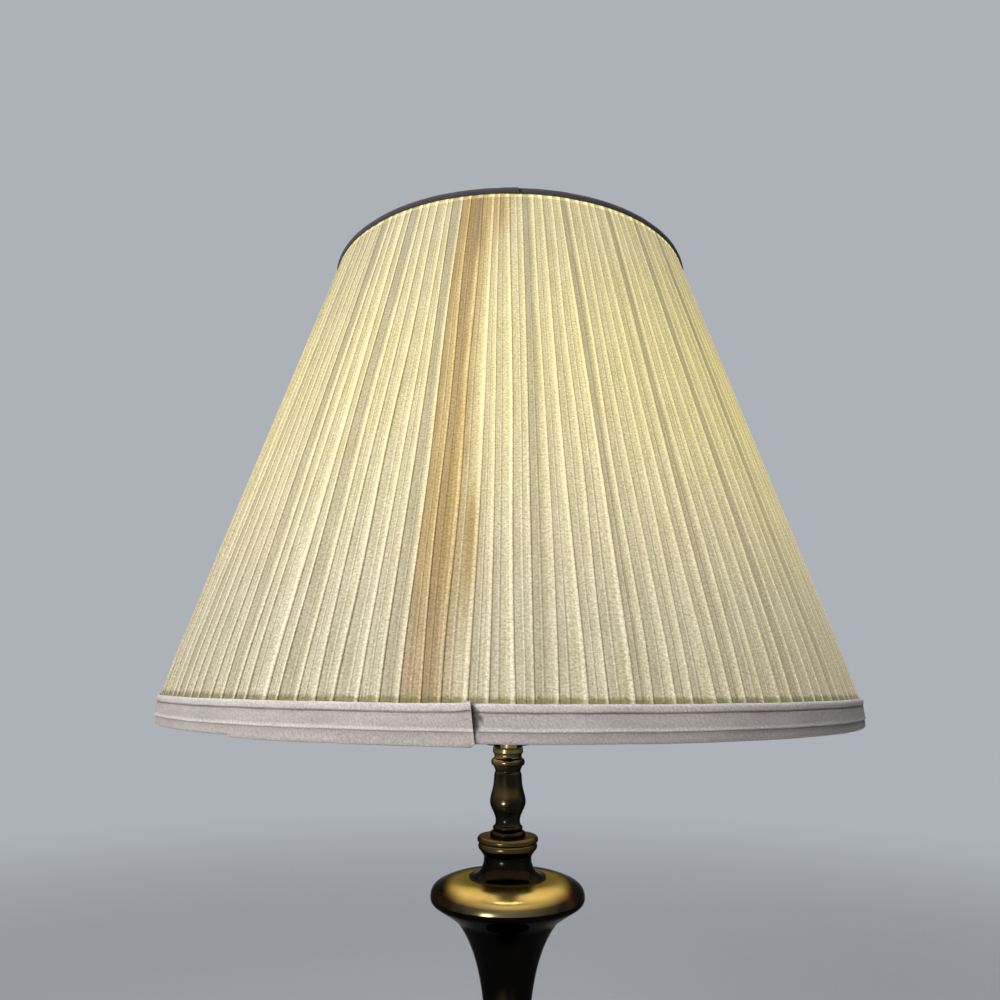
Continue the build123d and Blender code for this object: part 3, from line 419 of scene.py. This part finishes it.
def lit_pleats(name):
    """Ivory cloth in knife pleats with the lamp behind it and an old water stain down the front."""
    f = Finish(name)
    z = f.height()
    across, along = f.split(f.attribute("cloth", "Vector"))[:2]
    fold = f.attribute("fold")
    tone = f.attribute("tone")
    azimuth = f.attribute("azimuth")

    # slubby plain weave, and long streaks where the pleats were pressed
    slub = f.noise(f.join(across * 380, along * 1000), 1.0, 2.0, 0.8)
    thread = f.noise(f.join(across * 1000, along * 800), 1.0, 1.0, 0.8)
    weave = slub * 0.55 + thread * 0.45
    grain = 1 + 2.2 * (weave - 0.5)
    streak = f.noise(f.join(across * 900, along * 5), 1.0, 3.0, 0.7)
    mottle = f.noise(f.join(across * 130, along * 45), 1.0, 3.0, 0.6)

    # one pleat: a root in painted shadow, two layers with a painted shadow line at their edge, one layer,
    # and the raised fold edge with a painted highlight; the crease lines are painted shade too
    root = fold.bell(0.015, 0.035) + fold.bell(1.06, 0.05)
    inner_edge_shadow = fold.bell(0.480, 0.030)
    inner_ridge_highlight = fold.bell(0.415, 0.040)
    fold_edge_highlight = 0.25 * fold.between(0.60, 0.80) + 0.75 * fold.between(0.80, 0.89)
    fold_edge_highlight = fold_edge_highlight * (1 - fold.between(0.965, 1.0))
    uneven = f.noise(f.join(across * 60, along * 12), 1.0, 2.0, 0.6)
    crease_shading = f.noise(f.join(across * 560, along * 3), 1.0, 1.0, 0.5).between(0.35, 0.42)
    shadow_lines = (1 - 0.50 * root - 0.36 * inner_edge_shadow * (0.3 + 1.3 * uneven)) * (0.86 + 0.14 * crease_shading)
    passing = (0.66 + 0.18 * fold.between(0.44, 0.56) + 0.22 * inner_ridge_highlight + 0.34 * fold_edge_highlight) * shadow_lines

    # an old water stain that ran down a few pleats left of the middle
    pleat = across / CLOTH_PER_PLEAT - STAINED_PLEAT
    wander = 0.5 * (f.noise(f.join(0.0, along * 11), 1.0, 2.0) - 0.5)
    right_side = pleat + wander - z.between(0.52, 0.70) * 0.3
    main_run = pleat.between(-0.02, 0.06) * (1 - right_side.between(1.4, 2.8))
    side_run = azimuth.bell(SIDE_RUN_AZIMUTH, 0.70) * z.bell(LOW_PATCH_Z, 0.034) * 0.9
    spread_share = 0.15 + 0.40 * z.between(0.730, 0.790) + 0.35 * z.bell(LOW_PATCH_Z, 0.045)
    spread = azimuth.bell(SPREAD_AZIMUTH, 4.2) * spread_share
    spread = spread + azimuth.bell(HEAD_SPREAD_AZIMUTH, 2.4) * z.between(0.760, 0.795) * 0.85
    head_fold = azimuth.bell(HEAD_FOLD_AZIMUTH, 0.60) * z.between(0.745, 0.785)
    patches = f.noise(f.join(across * 260, along * 9), 1.0, 4.0, 0.7)
    stain = ((main_run * 0.80 + side_run + spread) * (0.10 + 1.55 * patches)).clamped()

    # the cloth's ragged foot in painted shade where the lower tape's edge stands off the pleat roots, and
    # the bright line at its head
    ragged = 0.0056 * f.noise(f.join(across * 480, 0.0), 1.0, 2.0, 0.8)
    foot = 1 - (z - ragged).between(FOOT_Z - 0.0010, FOOT_Z + 0.0014)
    foot_gap_shade = (foot - 0.75 * fold.bell(0.90, 0.10) * (1 - foot * 0.3)).clamped()
    head_glow = z.between(HEAD_Z - 0.0030, HEAD_Z - 0.0016) * (0.45 + 0.55 * fold.bell(0.78, 0.17))

    # its colour by daylight, with painted highlights on the fold edges, and painted shade along the shadow
    # lines, where cloth lies doubled and at the foot
    base = f.mix((streak * 0.6 + mottle * 0.4).between(0.36, 0.64), IVORY_SHADE, IVORY)
    base = f.mix(fold_edge_highlight * (0.45 + 0.5 * uneven) + 0.5 * inner_ridge_highlight, base, FOLD_HIGHLIGHT)
    base = f.mix(((1 - tone) * 0.9).clamped(), base, LAYERED_SHADE)
    stain_colour = f.mix(z.between(0.52, 0.62), STAIN_ROSE, STAIN_BROWN)
    base = f.mix(stain, base, f.mix(1.0, base, stain_colour, "MULTIPLY"))
    base = f.mix(head_fold * 0.85, base, FOLDED_SHADE_MAUVE)
    base = f.mix(foot_gap_shade * 0.85, base, ROOT_SHADE_OLIVE)
    base = f.tint(base, grain * (0.35 + 0.65 * shadow_lines) * (1 - 0.12 * side_run))

    # the lamp's light through it
    height_light = 0.50 + 0.50 * z.between(0.495, 0.670) - 0.22 * z.between(0.70, 0.80)
    opened = z.between(0.500, 0.760)      # the folds lie wider apart towards the foot
    layers = 1 - (1 - tone) * (0.35 + 0.65 * opened)
    glow = passing * layers * grain * height_light * (0.72 + 0.56 * streak) * (0.90 + 0.20 * mottle)
    glow = glow * 0.56 * (1 - 0.45 * stain - 0.15 * side_run)
    glow = glow * (1 - 0.6 * foot_gap_shade) * (1 - 0.75 * head_fold) + head_glow * 0.60
    lamplight = f.mix(z.between(0.50, 0.72), LOW_LAMPLIGHT, LAMPLIGHT)
    light = f.mix(head_glow, f.mix(stain, lamplight, STAINED_LAMPLIGHT), HEAD_LAMPLIGHT)
    return f.surface(
        base_color=base,
        roughness=0.88,
        sheen_weight=0.15,
        emission_color=f.tint(light, glow),
        emission_strength=1.0,
        normal=f.bump(weave + streak * 0.5, 0.00030, 0.8),
    )


TAPE_MAUVE = (0.600, 0.535, 0.510)
# the upper tape, the same tape as the lower one, painted far darker as painted shade
SHADED_TAPE_MAUVE = (0.080, 0.074, 0.080)


def bias_tape(name, tone):
    """Folded tape cut on the bias, so that its weave runs slantwise, with soil and painted shade in its
    creases and painted highlights on its ridges.
    """
    f = Finish(name)
    across, along = f.split(f.attribute("cloth", "Vector"))[:2]
    crease_shading = f.attribute("crease_shading")
    threads = f.noise(f.join((across + along) * 330, (across - along) * 1200), 1.0, 1.0, 0.8)
    crossing = f.noise(f.join((across + along) * 1200, (across - along) * 500), 1.0, 1.0, 0.8)
    weave = threads * 0.5 + crossing * 0.5
    soil = f.noise(f.join(across * 30, along * 90), 1.0, 4.0, 0.65)
    base = f.mix(soil.between(0.35, 0.75), tone, tuple(c * 0.82 for c in tone))
    return f.surface(
        base_color=f.tint(base, (1 + 1.6 * (weave - 0.5)) * (1 - crease_shading * (0.30 + 0.5 * soil))),
        roughness=0.9,
        sheen_weight=0.1,
        normal=f.bump(weave + 0.3 * soil, 0.0004, 0.8),
    )


# ============================ pleated cover ===================================================
PLEATS = 138
PLEAT_PITCH = 360 / PLEATS
PLEAT_DEPTH = 0.85 * MM
CLOTH_PER_PLEAT = 10.4 * MM
PLEAT_SKEW = -0.35                    # degrees by which the pleats lean, from the head to the foot
FIRST_PLEAT = -180.15                 # azimuth of the first one at the head
COVER_ROWS = 76
CREST_INSET = 0.5 * MM                # crests lie this far inside the cone
SHADE_TAPER = 94 / 304                # radius lost for each unit of height
FOOT_RADIUS = 226 * MM                # of that cone, at the lower edge of the cloth
FOOT_PULL = 1.2 * MM                  # how far the lower ring draws the cloth in, and up to where
PULL_TOP_Z = 0.534
# One pleat's section: share of its width and share of its depth.
FOLD_SECTION = np.array([
    (0.00, 0.00), (0.08, 0.12), (0.22, 0.30), (0.38, 0.50), (0.45, 0.56), (0.49, 0.44),
    (0.60, 0.56), (0.78, 0.72), (0.87, 0.94), (0.94, 1.00), (1.01, 0.88), (1.02, 0.42),
])
INNER_FOLD = 0.45                     # place of the middle fold in that section
# Azimuths of the pleats where three layers lie on each other, about one in five.
LAYERED_PLEATS = [-158, -146, -133, -121, -109, -97, -86, -74, -62, -50, -38, -26.4, -14.9, -8.1,
                  3.4, 15.2, 27.4, 36.8, 49, 61, 72, 84, 96, 107, 119, 131, 143, 155, 167]
dice = np.random.default_rng(20)
edge_jitter = {
    "foot": dice.uniform(-0.20, 0.20, PLEATS + 1),
    "head": dice.uniform(-0.30, 0.30, PLEATS + 1),
    "waves": dice.uniform(0.6, 2.2, PLEATS + 1),
    "phase": dice.uniform(0, 1, PLEATS + 1),
}


def pleat_edges(share):
    """Azimuth of every fold at a share of the cover's height, from its foot."""
    swing = 0.06 * np.sin(2 * math.pi * (share * edge_jitter["waves"] + edge_jitter["phase"]))
    shift = edge_jitter["foot"] * (1 - share) + edge_jitter["head"] * share + swing
    return (np.arange(PLEATS + 1) + shift) * PLEAT_PITCH + FIRST_PLEAT - PLEAT_SKEW * (1 - share)


def make_cover():
    low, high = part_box("shade_cover")
    heights = np.linspace(low.z, high.z, COVER_ROWS)
    place, rise = FOLD_SECTION.T
    inner_folds = dice.uniform(0.33, 0.60, PLEATS)
    even = [0, INNER_FOLD, 1, 1.1]
    places = np.array([np.interp(place, even, [0, inner, 1, 1.1]) for inner in inner_folds])
    depths = PLEAT_DEPTH * dice.uniform(0.75, 1.10, PLEATS)
    tones = np.where(place[None, :] < INNER_FOLD + 0.02, *dice.uniform(0.80, 1.0, (2, PLEATS, 1)))
    for azimuth in LAYERED_PLEATS:
        layered = int((azimuth + 180) / PLEAT_PITCH)
        tones[layered, place < 0.7] = 0.50
        tones[layered, place >= 0.7] = 0.88
    rows, azimuths = [], []
    for height in heights:
        share = (height - low.z) / (high.z - low.z)
        edges = pleat_edges(share)
        azimuth = edges[:-1, None] + np.diff(edges)[:, None] * places
        pull = FOOT_PULL * np.clip((PULL_TOP_Z - height) / (PULL_TOP_Z - low.z), 0, 1) ** 1.5
        radius = FOOT_RADIUS - CREST_INSET - SHADE_TAPER * (height - FOOT_Z) - pull
        reach = radius - depths[:, None] * (0.35 + 0.65 * radius / FOOT_RADIUS) * (1 - rise)
        rows.append(on_cone(reach.ravel(), azimuth.ravel(), height))
        azimuths.append(azimuth.ravel())
    cover = new_piece(
        "pleated_cover", np.concatenate(rows), grid_faces(COVER_ROWS, places.size),
        lit_pleats("lit_pleats"), "shade",
    )
    across = ((np.arange(PLEATS)[:, None] + places) * CLOTH_PER_PLEAT).ravel()
    cloth = [np.stack([across, np.full(across.size, height), 0 * across], axis=-1) for height in heights]
    store(cover, "cloth", np.concatenate(cloth))
    store(cover, "fold", np.tile(place, PLEATS * COVER_ROWS))
    store(cover, "tone", np.tile(tones.ravel(), COVER_ROWS))
    store(cover, "azimuth", np.concatenate(azimuths))
    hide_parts("shade_cover")
    return cover


# ============================ tapes round the rims ============================================
TAPE_STEPS = 900
# Sections of the tapes, from the inner edge round the outside: radius and height in mm, and the
# share of painted shadow and soil that lies in a crease there, or less than 0 for a painted highlight on a
# ridge.
LOWER_TAPE = np.array([
    (218.5, 499.0, 0), (218.5, 494.0, 0), (218.5, 489.9, 0), (219.3, 489.0, 0), (223.6, 488.8, 0),
    (225.2, 489.2, 0), (225.5, 494.0, 0), (225.5, 500.0, 0), (225.5, 501.8, 0), (225.1, 504.0, 0.8),
    (225.4, 504.5, 0.1), (226.0, 504.3, -0.5), (226.4, 503.2, -0.4), (226.5, 501.6, -0.3),
    (226.3, 501.0, 0.6), (225.8, 500.7, 1.1), (226.1, 500.4, 0.9), (226.3, 500.1, 0.2), (226.3, 498.6, 0),
    (226.6, 495.0, 0.1), (226.9, 493.7, -0.7), (226.9, 493.2, -0.5), (226.1, 492.8, 0.8),
    (226.2, 492.3, 0.5), (226.4, 491.4, 0.3), (226.5, 489.6, 0.1), (226.2, 488.6, 0), (225.3, 487.9, -0.1),
    (220.4, 487.7, 0), (218.4, 488.2, 0), (217.7, 489.4, 0), (217.6, 494.0, 0), (217.7, 499.0, 0),
])
UPPER_TAPE = np.array([
    (122.6, 803.0, 0), (122.6, 807.0, 0), (122.7, 810.6, 0), (124.0, 811.4, 0), (127.5, 811.6, 0),
    (130.6, 811.4, 0), (131.2, 810.6, 0), (131.4, 808.2, 0.8), (131.9, 807.9, 0.8), (132.4, 808.3, 0.3),
    (132.5, 810.3, 0), (132.2, 811.6, 0), (131.2, 812.5, 0), (128.0, 812.8, 0), (124.0, 812.6, 0),
    (122.3, 812.2, 0), (121.8, 811.0, 0), (121.7, 807.0, 0), (121.8, 803.0, 0),
])
LOWER_SEAM = -4.4                     # azimuths of the laps in front
UPPER_SEAM = 1.7
LAP = 4.0                             # degrees by which a tape's end laps over its start
UNDER_TURN = (-36.8, LOWER_SEAM)      # azimuths between which the turned-in edge hangs lower
GAP_WIDTH = 0.80                      # degrees of shadow beside the lapped end, where it stands off most
END_SLANT = 0.25                      # degrees that the lapped end leans by


def waves(angle, heights, counts, phases):
    """A sum of waves round the rim, each with its height and its number of crests."""
    return sum(a * math.sin(n * angle + p) for a, n, p in zip(heights, counts, phases))


def make_tape(name, node, section, seam, tone, lift, hang=0.0):
    """A tape folded round a rim, whose end laps over its start at the azimuth of the seam. The end
    stands off by lift and the edge turned in under it hangs lower by hang, both in mm."""
    profile = section[:, :2] * MM
    middle = profile.mean(axis=0)
    outside = profile[:, 0] > middle[0]
    above = (profile[:, 1] - middle[1]) / np.ptp(profile[:, 1]) * 2
    foot = np.clip((-above - 0.55) / 0.3, 0, 1)
    run = np.concatenate([[0], np.cumsum(np.hypot(*np.diff(profile, axis=0).T))])
    # three rows are drawn and two used, so that the draws after them stay as they are
    pucker, sag = dice.uniform(0, 2 * math.pi, (3, 4))[:2]
    turns = np.linspace(seam - LAP, seam + 360, TAPE_STEPS)
    points, cloths = [], []
    for azimuth in turns:
        angle = math.radians(azimuth)
        ripple = waves(angle, (0.16, 0.10, 0.06, 0.04), (7, 17, 41, 97), pucker)
        slack = waves(angle, (0.16, 0.10, 0.06, 0.03), (5, 23, 53, 120), sag)
        left = seam + 360 - azimuth
        over = np.clip(1 - (left - LAP) / 1.5, 0, 1)
        curl = np.clip(1 - left / 3.2, 0, 1) ** 2
        turn = azimuth if azimuth < 180 else azimuth - 360
        hanging = np.clip((turn - UNDER_TURN[0]) / 0.5, 0, 1) * (turn < UNDER_TURN[1])
        point = profile.copy()
        lifted = curl * lift
        point[outside, 0] += (ripple * 0.6 + over * 0.45 + lifted * (0.55 + 0.45 * above[outside])) * MM
        point[~outside, 0] -= over * 0.25 * MM
        folded = np.clip(section[:, 2], 0, 1) * outside * (above > 0.2)
        point[:, 1] += (slack * 0.5 + (over * 0.1 + lifted * (0.2 + folded)) * np.maximum(above, 0)) * MM
        point[:, 1] -= foot * (hanging * hang + over * 0.2) * MM
        slant = END_SLANT * np.clip(1 - left / 2.0, 0, 1) * above * outside
        points.append(on_cone(point[:, 0], azimuth - slant, point[:, 1]))
        cloths.append(np.stack([np.full(run.size, angle * profile[:, 0].max()), run, 0 * run], axis=-1))
    faces = grid_faces(TAPE_STEPS, len(profile), closed_columns=True)
    last = (TAPE_STEPS - 1) * len(profile)
    faces.append(tuple(range(len(profile))))
    faces.append(tuple(reversed(range(last, last + len(profile)))))
    gap_width = 0.10 + GAP_WIDTH * np.sin(math.pi * np.clip((above + 0.30) / 1.30, 0, 1))
    beside = turns[:, None] - (seam - END_SLANT * above + gap_width)
    gap = np.clip(1 - beside / 0.30, 0, 1) * (turns[:, None] < seam + 5) * outside
    tape = new_piece(name, np.concatenate(points), faces, bias_tape(name, tone), "shade")
    store(tape, "cloth", np.concatenate(cloths))
    store(tape, "crease_shading", np.where(gap > 0.05, 1.5 * gap, section[:, 2]).ravel())
    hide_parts(node)
    return tape


# ============================ felt under the base =============================================
def make_felt():
    low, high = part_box("felt_pad")
    radius, thick = high.x, high.z - low.z
    turns = np.linspace(0, 360, 240, endpoint=False)
    fuzz = dice.normal(0, 0.12, turns.size) * MM
    rings = [
        (0.0, 0.0), (radius * 0.5, 0.0), (radius - 1.2 * MM, 0.0),
        (radius - 0.3 * MM, 0.4 * MM), (radius - 0.1 * MM, thick * 0.5),
        (radius - 0.3 * MM, thick - 0.3 * MM), (radius - 1.0 * MM, thick - 0.05 * MM),
    ]
    points = [on_cone(np.maximum(r + fuzz * (r > radius * 0.6), 0.1 * MM), turns, z) for r, z in rings]
    faces = grid_faces(len(rings), turns.size, closed_columns=True)
    faces.append(tuple(range(turns.size)))
    last = (len(rings) - 1) * turns.size
    faces.append(tuple(reversed(range(last, last + turns.size))))
    felt = new_piece("felt_disc", np.concatenate(points), faces, wool_felt("wool_felt"), "stand")
    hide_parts("felt_pad")
    return felt


# ============================ carried-over pieces =============================================
def dress(material, *nodes):
    for node in nodes:
        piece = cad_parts[node]
        piece.data.materials.clear()
        piece.data.materials.append(material)


def dress_all():
    # the column's long vertical streaks are partly painted reflections
    column_bronze_and_glints = bronzed("column_bronze_and_glints", 0.27, UMBER, streak_and_glint_share=0.92, brightness_pattern="column")
    dress(column_bronze_and_glints, "trumpet_column", "drip_pan_underside")
    dress(bronzed("base_bronze", 0.16, UMBER, worn_edges=0.6), "base_shell", "column_seat")
    dress(bronzed("neck_bronze", 0.29, OLD_GOLD, NECK_BROWN, 0.6), "turned_neck", "finial")
    collar_bronze = bronzed("collar_bronze", 0.20, OLD_GOLD, COLLAR_BROWN, 0.6, brightness_pattern="collar")
    dress(collar_bronze, "neck_collar", "knop", "base_collar")
    dress(bronzed("pan_painted_reflection", 0.40, PALE_GOLD, PAN_BROWN, brightness_pattern="pan"), "drip_pan_top")
    dress(plated_steel("harp_plate"), "harp")
    # the saddle, the socket, the harp's sleeves and its stud take far darker copies of the harp's plate and
    # of turned brass, as painted shade under the shade's rim
    dress(plated_steel("saddle_plate_shaded", (0.065, 0.048, 0.023)), "harp_saddle")
    turned_brass_shaded = machined("turned_brass_shaded", (0.30, 0.235, 0.115), 0.28)
    dress(turned_brass_shaded, "harp_sleeve_front", "harp_sleeve_rear", "harp_stud")
    dress(plated_steel("socket_plate_shaded", (0.070, 0.052, 0.025)), "socket_cap", "socket_shell")
    dress(machined("thread_aluminium", (0.74, 0.74, 0.73), 0.25), "bulb_cap", "screw_shell")
    dress(machined("contact_brass", (0.74, 0.58, 0.28), 0.3), "centre_contact", "terminal_screws")
    dress(machined("zinc_steel", (0.50, 0.50, 0.49), 0.35), "base_washer", "base_lock_nut", "lamp_pipe")
    dress(rough_cast("cast_iron"), "base_weight")
    dress(fibre_card("fibre_card"), "socket_insulator")
    dress(moulded("phenolic", (0.030, 0.022, 0.018), 0.38), "socket_body", "switch_stem", "bulb_insulator")
    dress(moulded("knob_plastic", (0.055, 0.032, 0.020), 0.22), "switch_knob")
    dress(moulded("bushing_plastic", (0.022, 0.022, 0.022), 0.5), "cord_bushing")
    dress(white_enamel("white_enamel"), "shade_frame", "bottom_ring")
    dress(lit_laminate("lit_laminate"), "shade_liner")
    dress(lit_bulb("lit_bulb"), "bulb_glass", "bulb_mount")
    dress(hot_wire("hot_wire"), "bulb_filament", "bulb_leads")


# ============================ stage, lights and camera ========================================
BACKDROP = (0.420, 0.440, 0.480)
ROOM_TONE = (0.90, 0.94, 1.0)
ROOM_LIGHT = 0.04
FLOOR_REACH = 7.0
FLOOR_FADE = (0.6, 2.8)               # distances between which the floor thins out


def make_world():
    world = bpy.data.worlds.new("room")
    bpy.context.scene.world = world
    sky = Finish("room", world)
    rays = ("Camera", "Glossy", "Transmission")
    seen = sum(sky.add("ShaderNodeLightPath", {}, {}, f"Is {ray} Ray") for ray in rays).clamped()
    room_light = sky.add("ShaderNodeBackground", {}, {"Color": colour(ROOM_TONE), "Strength": ROOM_LIGHT})
    backdrop = sky.add("ShaderNodeBackground", {}, {"Color": colour(BACKDROP), "Strength": 1.0})
    both = sky.add("ShaderNodeMixShader", {}, {0: seen, 1: room_light, 2: backdrop})
    sky.add("ShaderNodeOutputWorld", {}, {"Surface": both})


def make_floor():
    """A pale floor that thins out into the backdrop far behind the lamp."""
    f = Finish("pale_floor")
    x, y = f.split(f.place())[:2]
    away = ((x * x + y * y) ** 0.5).between(*FLOOR_FADE)
    grain = f.noise(f.place(), 60.0, 3.0)
    plaster = f.add("ShaderNodeBsdfPrincipled", {}, {
        "Base Color": f.mix(grain, (0.455, 0.470, 0.500), (0.485, 0.500, 0.530)),
        "Roughness": 0.85,
        "Specular IOR Level": 0.0,
    })
    clear = f.add("ShaderNodeBsdfTransparent", {}, {})
    f.close(f.add("ShaderNodeMixShader", {}, {0: away, 1: plaster, 2: clear}))
    turns = np.linspace(0, 360, 96, endpoint=False)
    rings = [on_cone(np.full(turns.size, r), turns, 0.0) for r in np.linspace(0.02, FLOOR_REACH, 14)]
    faces = grid_faces(len(rings), turns.size, closed_columns=True)
    faces.append(tuple(reversed(range(turns.size))))
    mesh = bpy.data.meshes.new("floor")
    mesh.from_pydata([tuple(p) for p in np.concatenate(rings)], [], faces)
    mesh.materials.append(f.material)
    floor = bpy.data.objects.new("floor", mesh)
    bpy.context.scene.collection.objects.link(floor)


def add_light(name, place, target, size, power, tone, glints=True, lights_cloth=True):
    """A round soft light. One without glints isn't mirrored in the brass, and one that doesn't
    light the cloth shows only as its glints."""
    lamp = bpy.data.lights.new(name, "AREA")
    lamp.shape = "DISK"
    lamp.size = size
    lamp.energy = power
    lamp.color = tone
    light = bpy.data.objects.new(name, lamp)
    light.visible_glossy = glints
    light.visible_diffuse = lights_cloth
    light.location = place
    light.rotation_euler = (Vector(target) - Vector(place)).to_track_quat("-Z", "Y").to_euler()
    bpy.context.scene.collection.objects.link(light)


FRAME_MM = 36.0                       # the square frame behind the lens
LENS_MM = 28.62
CAMERA_PLACE = (-0.0066, -0.572, 0.516)
CAMERA_TILT = 12.47                   # degrees above level
CAMERA_ROLL = 0.35                    # degrees, as the photograph was held


def make_camera():
    lens = bpy.data.cameras.new("camera")
    lens.sensor_width = FRAME_MM
    lens.lens = LENS_MM
    camera = bpy.data.objects.new("camera", lens)
    camera.location = CAMERA_PLACE
    tilt = Matrix.Rotation(math.radians(90 + CAMERA_TILT), 3, "X")
    camera.rotation_euler = (tilt @ Matrix.Rotation(math.radians(CAMERA_ROLL), 3, "Z")).to_euler()
    bpy.context.scene.collection.objects.link(camera)
    bpy.context.scene.camera = camera


# ============================ putting it together =============================================
make_camera()
make_world()
make_floor()
add_light("key", (-1.40, -2.05, 1.25), (0, 0, 0.6), 1.5, 52.0, (1.0, 0.985, 0.965), glints=False)
add_light("ceiling", (0.15, -0.10, 2.70), (0, 0, 0.6), 1.6, 34.0, (0.95, 0.97, 1.0), glints=False)
add_light("window", (-0.75, -1.30, 0.16), (0, 0, 0.42), 0.20, 9.0, (1.0, 0.99, 0.97), lights_cloth=False)
add_light("back", (0.5, 2.0, 2.5), (0, 0, 0.5), 1.6, 15.0, (0.95, 0.97, 1.0), glints=False)

dress_all()
cover = make_cover()
lower_tape = make_tape("lower_tape", "bottom_trim", LOWER_TAPE, LOWER_SEAM, TAPE_MAUVE, lift=2.0, hang=1.2)
upper_tape = make_tape("upper_tape", "top_trim", UPPER_TAPE, UPPER_SEAM, SHADED_TAPE_MAUVE, lift=0.5)
make_felt()

bpy.context.scene.view_settings.view_transform = "Standard"
